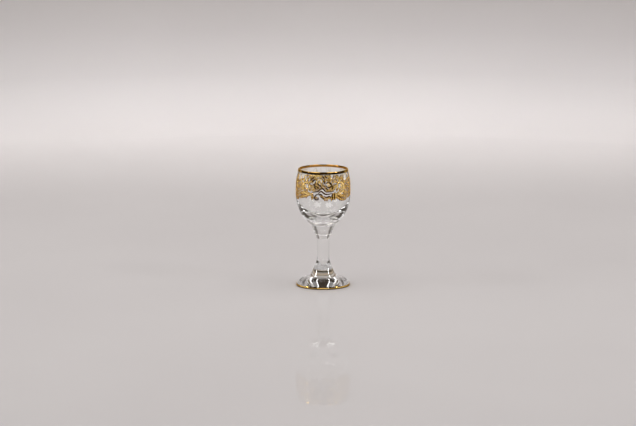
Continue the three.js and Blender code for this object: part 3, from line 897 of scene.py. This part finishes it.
# Stage: a broad pale floor with a slight gloss, and a cove behind it that is see-through from its back
stage = {
    "halfSize": 12.0, "coveRadius": 1.06, "bendRadius": 0.16, "coveHeight": 0.85, "endHeight": 0.5,
    "coveHalfTurn": radians(66), "coveLift": 0.0002,
    "gloss": 0.32, "glossHeights": (0.001, 0.03),  # the gloss fades out between these heights
    "paintedShadeScale": 3.3,  # how much of the painted shade's ramp one metre of height covers
    "coveFading": (0.44, 0.56, 0.7, 0.8),
    "floorFading": (50, 60, 70, 80),  # past the floor's edge, so it doesn't darken
}


# fading: how far from the middle the board starts to darken, where it is darkest, up to where, and where
# it is pale again; the dark band is painted shade, standing in for a dark room beside the board
def floorMaterial(name, fading):
    made, wires = material(name)

    def smooth(value, start, end):
        return wires.node("ShaderNodeMapRange", {"interpolation_type": "SMOOTHSTEP"},
                          {"Value": value, "From Min": start, "From Max": end})

    place = wires.node("ShaderNodeTexCoord").other("Object")
    cloud = wires.node("ShaderNodeTexNoise", sockets={"Vector": place, "Scale": 3.0, "Detail": 2.0})
    tone = wires.node("ShaderNodeValToRGB", {"stops": [
        (0.3, (0.615, 0.581, 0.576, 1)), (0.7, (0.645, 0.611, 0.605, 1))]}, {"Fac": cloud})
    axes = place.axes()
    # painted shade: the board a little darker where it bends up
    pale, darker = (1, 1, 1, 1), (0.85, 0.85, 0.85, 1)
    paintedShade = wires.node("ShaderNodeValToRGB", {"stops": [
        (0.0, pale), (0.2, darker), (0.36, darker), (0.8, pale)]},
        {"Fac": stage["paintedShadeScale"] * axes.other("Z")})
    tone = wires.mix(1.0, tone, paintedShade, "MULTIPLY")
    aside = wires.math("ABSOLUTE", axes)
    # painted shade: a dark band on the board, standing in for the dark room
    paintedDarkBand = smooth(aside, fading[0], fading[1]) * smooth(aside, fading[3], fading[2])
    tone = wires.mix(paintedDarkBand, tone, (0.165, 0.147, 0.13, 1))
    flatness = smooth(axes.other("Z"), stage["glossHeights"][1], stage["glossHeights"][0])
    board = wires.node("ShaderNodeBsdfPrincipled", sockets={
        "Base Color": tone, "Roughness": 0.6,
        "Coat Weight": stage["gloss"] * flatness, "Coat Roughness": 0.004})
    back = wires.node("ShaderNodeNewGeometry").other("Backfacing")
    clear = wires.node("ShaderNodeBsdfTransparent")
    finishMaterial(wires, wires.mixShader(back, board, clear))
    return made


def stagePiece(name, verts, faces, fading):
    mesh = bpy.data.meshes.new(name)
    mesh.from_pydata(verts, [], faces)
    mesh.shade_smooth()
    mesh.materials.append(floorMaterial(name, fading))
    made = bpy.data.objects.new(name, mesh)
    bpy.context.scene.collection.objects.link(made)


def studioFloor():
    half = stage["halfSize"]
    stagePiece("studio_floor", [(-half, -half, 0), (half, -half, 0), (half, half, 0), (-half, half, 0)],
               [(0, 1, 2, 3)], stage["floorFading"])


def studioCove(steps=60, bendSteps=20):
    bendStart = stage["coveRadius"] - stage["bendRadius"]
    line = []
    for step in range(bendSteps + 1):
        turn = pi / 2 * step / bendSteps
        line.append((bendStart + stage["bendRadius"] * sin(turn),
                     stage["coveLift"] + stage["bendRadius"] * (1 - cos(turn))))
    verts, faces = [], []
    for step in range(steps + 1):
        turn = 2 * step / steps - 1
        angle = stage["coveHalfTurn"] * turn
        middle = cos(pi / 2 * turn) ** 2  # the wall is lower towards both ends
        top = stage["endHeight"] + (stage["coveHeight"] - stage["endHeight"]) * middle
        upright = line + [(stage["coveRadius"], top)]
        verts += [(r * sin(angle), r * cos(angle), z) for r, z in upright]
    rows = len(line) + 1
    for step in range(steps):
        for n in range(rows - 1):
            a = step * rows + n
            faces.append((a, a + rows, a + rows + 1, a + 1))
    stagePiece("studio_cove", verts, faces, stage["coveFading"])


studioFloor()
studioCove()


# Lamps: two banks overhead, a small lamp on each side, low panels at the left, right and front, a thin
# strip behind each shoulder, and one held to the foot of the cove
lamps = {
    "left_bank": {"at": (-0.85, -0.15, 2.0), "aim": (-0.85, -0.15, 0), "size": (1.0, 1.9), "power": 22.6},
    "right_bank": {"at": (0.85, -0.15, 2.0), "aim": (0.85, -0.15, 0), "size": (1.0, 1.9), "power": 22.6},
    "left": {"at": (-1.5, -0.27, 0.97), "aim": (0, 0, 0.06), "size": (0.18, 0.18), "power": 4.0},
    "right": {"at": (1.38, -0.64, 0.97), "aim": (0, 0, 0.06), "size": (0.18, 0.18), "power": 4.4},
    "left_panel": {"at": (-1.9, 0.1, 0.08), "aim": (0, 0, 0.1), "size": (2.2, 0.14), "power": 2.4},
    "right_panel": {"at": (1.9, 0.1, 0.08), "aim": (0, 0, 0.1), "size": (2.2, 0.14), "power": 2.4},
    "front_panel": {"at": (0, -1.4, 0.12), "aim": (0, 0, 0.09), "size": (1.3, 0.2), "power": 1.5},
    "left_strip": {"at": (-0.36, 0.84, 0.92), "aim": (0, 0, 0.05), "size": (0.015, 0.26), "power": 0.1},
    "right_strip": {"at": (0.36, 0.84, 0.92), "aim": (0, 0, 0.05), "size": (0.015, 0.26), "power": 0.1},
    "cove": {"at": (0, 0.93, 0.95), "aim": (0, 0.96, 0.0), "size": (1.2, 0.1), "power": 0.8,
             "spread": radians(60)},
}


def hangLamp(name, lamp):
    data = bpy.data.lights.new(name, "AREA")
    data.shape = "RECTANGLE"
    data.size, data.size_y = lamp["size"]
    data.energy = lamp["power"]
    data.spread = lamp.get("spread", pi)
    made = bpy.data.objects.new(name, data)
    made.location = lamp["at"]
    made.rotation_euler = (Vector(lamp["aim"]) - Vector(lamp["at"])).to_track_quat("-Z", "Y").to_euler()
    bpy.context.scene.collection.objects.link(made)


for name, lamp in lamps.items():
    hangLamp(name, lamp)


# a dark room round the table
def studioWorld():
    made = bpy.data.worlds.new("studio")
    made.use_nodes = True
    made.node_tree.nodes["Background"].inputs["Color"].default_value = (0.03, 0.02, 0.011, 1)
    return made


scene = bpy.context.scene
scene.world = studioWorld()
scene.view_settings.view_transform = "Standard"
scene.cycles.max_bounces = 24  # light runs a long way in the solid stem
scene.cycles.transmission_bounces = 24
scene.cycles.glossy_bounces = 16
scene.cycles.transparent_max_bounces = 24
scene.cycles.caustics_refractive = False  # the glass already lets shadow rays through

# Camera: the photograph's angle
view = {
    "elevation": radians(10.5), "distance": 2.75, "aimHeight": 0.054,
    "focal": 3010.0, "frame": (636, 426), "aimAt": (323.1, 226.7),  # in the photograph's pixels
}
cameraData = bpy.data.cameras.new("camera")
cameraData.sensor_width = 36.0
cameraData.lens = view["focal"] * cameraData.sensor_width / view["frame"][0]
cameraData.shift_x = (view["frame"][0] / 2 - view["aimAt"][0]) / view["frame"][0]
cameraData.shift_y = (view["aimAt"][1] - view["frame"][1] / 2) / view["frame"][0]
camera = bpy.data.objects.new("camera", cameraData)
camera.location = (0, -view["distance"] * cos(view["elevation"]),
                   view["aimHeight"] + view["distance"] * sin(view["elevation"]))
camera.rotation_euler = (pi / 2 - view["elevation"], 0, 0)
scene.collection.objects.link(camera)
scene.camera = camera

print("stage set")
